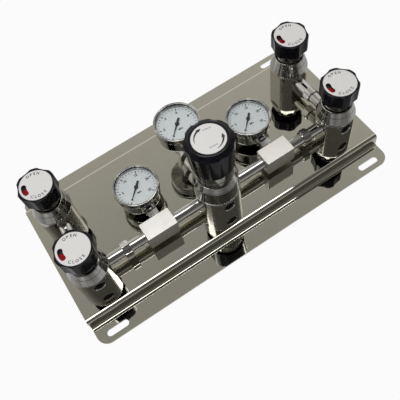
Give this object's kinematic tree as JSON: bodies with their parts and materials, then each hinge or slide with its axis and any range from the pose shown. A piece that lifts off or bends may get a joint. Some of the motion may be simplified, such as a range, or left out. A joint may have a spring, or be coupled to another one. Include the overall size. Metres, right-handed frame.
{
  "type": "gas changeover manifold",
  "caption": "Gas changeover manifold: shut-off and vent valves with handwheels either side of a pressure regulator with gauges, piped together on a folded wall plate.",
  "frame": {"origin": "centre of the wall plane under the two flanges", "axes": "+X along the plate, +Z away from the wall, +Y across it from the open inlet ports towards the centre gauge"},
  "size_m": [0.4, 0.22, 0.146],
  "materials": {
    "panel_steel": "mirror polished",
    "screw_steel": "plain",
    "body_steel": "turned and milled",
    "bonnet_steel": "turned",
    "stem_steel": "ground",
    "indicator_enamel": "enamel with a dark sector",
    "handwheel_plastic": "moulded black",
    "label_white": "printed white film",
    "block_steel": "brushed",
    "pipe_steel": "polished",
    "fitting_steel": "forged and blasted",
    "spring_steel": "drawn wire",
    "knob_plastic": "moulded black",
    "gauge_steel": "drawn and polished",
    "bezel_steel": "polished",
    "gauge_glass": "clear",
    "dial_white": "printed white enamel",
    "pointer_black": "matt black"
  },
  "bodies": {
    "manifold": {"backplate": "panel_steel", "panel_screws": "screw_steel", "left_inlet_valve_body": "body_steel", "left_inlet_valve_bonnet": "bonnet_steel", "left_inlet_valve_indicator": "indicator_enamel", "right_inlet_valve_body": "body_steel", "right_inlet_valve_bonnet": "bonnet_steel", "right_inlet_valve_indicator": "indicator_enamel", "left_vent_valve_body": "body_steel", "left_vent_valve_bonnet": "bonnet_steel", "left_vent_valve_indicator": "indicator_enamel", "right_vent_valve_body": "body_steel", "right_vent_valve_bonnet": "bonnet_steel", "right_vent_valve_indicator": "indicator_enamel", "left_tee_block": "block_steel", "left_inlet_nipple": "pipe_steel", "left_link_pipe": "pipe_steel", "left_vent_nipple": "pipe_steel", "right_tee_block": "block_steel", "right_inlet_nipple": "pipe_steel", "right_link_pipe": "pipe_steel", "right_vent_nipple": "pipe_steel", "regulator_body": "body_steel", "regulator_diaphragm": "stem_steel", "regulator_bonnet": "bonnet_steel", "regulator_spring": "spring_steel", "left_gauge_case": "gauge_steel", "left_gauge_bezel": "bezel_steel", "left_gauge_glass": "gauge_glass", "left_gauge_dial": "dial_white", "centre_gauge_case": "gauge_steel", "centre_gauge_bezel": "bezel_steel", "centre_gauge_glass": "gauge_glass", "centre_gauge_dial": "dial_white", "right_gauge_case": "gauge_steel", "right_gauge_bezel": "bezel_steel", "right_gauge_glass": "gauge_glass", "right_gauge_dial": "dial_white", "gauge_elbow": "fitting_steel", "gauge_adapter": "pipe_steel"},
    "left_inlet_wheel": {"left_inlet_valve_handwheel": "handwheel_plastic", "left_inlet_valve_label": "label_white"},
    "left_inlet_stem": {"left_inlet_valve_stem": "stem_steel"},
    "right_inlet_wheel": {"right_inlet_valve_handwheel": "handwheel_plastic", "right_inlet_valve_label": "label_white"},
    "right_inlet_stem": {"right_inlet_valve_stem": "stem_steel"},
    "left_vent_wheel": {"left_vent_valve_handwheel": "handwheel_plastic", "left_vent_valve_label": "label_white"},
    "left_vent_stem": {"left_vent_valve_stem": "stem_steel"},
    "right_vent_wheel": {"right_vent_valve_handwheel": "handwheel_plastic", "right_vent_valve_label": "label_white"},
    "right_vent_stem": {"right_vent_valve_stem": "stem_steel"},
    "pressure_knob": {"regulator_knob": "knob_plastic", "regulator_label": "label_white", "regulator_adjusting_screw": "stem_steel"},
    "spring_button": {"regulator_spring_button": "stem_steel"},
    "poppet": {"regulator_poppet": "stem_steel"},
    "left_pointer": {"left_gauge_pointer": "pointer_black"},
    "centre_pointer": {"centre_gauge_pointer": "pointer_black"},
    "right_pointer": {"right_gauge_pointer": "pointer_black"}
  },
  "joints": [
    {"name": "left_inlet_handwheel_turn", "type": "hinge", "parent": "manifold", "child": "left_inlet_wheel", "pos_m": [-0.167, -0.042, 0.11], "axis": [0, 0, 1], "range_deg": [0, 90]},
    {"name": "left_inlet_stem_lift", "type": "slide", "parent": "manifold", "child": "left_inlet_stem", "axis": [0, 0, 1], "range_m": [0, 0.001]},
    {"name": "right_inlet_handwheel_turn", "type": "hinge", "parent": "manifold", "child": "right_inlet_wheel", "pos_m": [0.167, -0.042, 0.11], "axis": [0, 0, 1], "range_deg": [0, 90]},
    {"name": "right_inlet_stem_lift", "type": "slide", "parent": "manifold", "child": "right_inlet_stem", "axis": [0, 0, 1], "range_m": [0, 0.001]},
    {"name": "left_vent_handwheel_turn", "type": "hinge", "parent": "manifold", "child": "left_vent_wheel", "pos_m": [-0.167, 0.0475, 0.11], "axis": [0, 0, 1], "range_deg": [0, 90]},
    {"name": "left_vent_stem_lift", "type": "slide", "parent": "manifold", "child": "left_vent_stem", "axis": [0, 0, 1], "range_m": [0, 0.001]},
    {"name": "right_vent_handwheel_turn", "type": "hinge", "parent": "manifold", "child": "right_vent_wheel", "pos_m": [0.167, 0.0475, 0.11], "axis": [0, 0, 1], "range_deg": [0, 90]},
    {"name": "right_vent_stem_lift", "type": "slide", "parent": "manifold", "child": "right_vent_stem", "axis": [0, 0, 1], "range_m": [0, 0.001]},
    {"name": "pressure_knob_turn", "type": "hinge", "parent": "manifold", "child": "pressure_knob", "pos_m": [0, -0.042, 0.12], "axis": [0, 0, -1], "range_deg": [0, 1440]},
    {"name": "spring_button_drop", "type": "slide", "parent": "manifold", "child": "spring_button", "axis": [0, 0, -1], "range_m": [0, 0.006], "deforming": ["regulator_spring"]},
    {"name": "poppet_drop", "type": "slide", "parent": "manifold", "child": "poppet", "axis": [0, 0, -1], "range_m": [0, 0.0006]},
    {"name": "left_pointer_turn", "type": "hinge", "parent": "manifold", "child": "left_pointer", "pos_m": [-0.0755, 0.0115, 0.0525], "axis": [0, 0, -1], "range_deg": [0, 270], "stiffness_Nm_per_rad": 0.0005},
    {"name": "centre_pointer_turn", "type": "hinge", "parent": "manifold", "child": "centre_pointer", "pos_m": [0, 0.0343, 0.0855], "axis": [0, 0, -1], "range_deg": [0, 270], "stiffness_Nm_per_rad": 0.0005},
    {"name": "right_pointer_turn", "type": "hinge", "parent": "manifold", "child": "right_pointer", "pos_m": [0.08, 0.0115, 0.0525], "axis": [0, 0, -1], "range_deg": [0, 270], "stiffness_Nm_per_rad": 0.0005}
  ],
  "couplings": [
    {"joint": "left_inlet_stem_lift", "follows": "left_inlet_handwheel_turn", "m_per_rad": 0.0006366},
    {"joint": "right_inlet_stem_lift", "follows": "right_inlet_handwheel_turn", "m_per_rad": 0.0006366},
    {"joint": "left_vent_stem_lift", "follows": "left_vent_handwheel_turn", "m_per_rad": 0.0006366},
    {"joint": "right_vent_stem_lift", "follows": "right_vent_handwheel_turn", "m_per_rad": 0.0006366},
    {"joint": "spring_button_drop", "follows": "pressure_knob_turn", "m_per_rad": 0.0002387},
    {"joint": "poppet_drop", "follows": "pressure_knob_turn", "m_per_rad": 0.00002387}
  ]
}
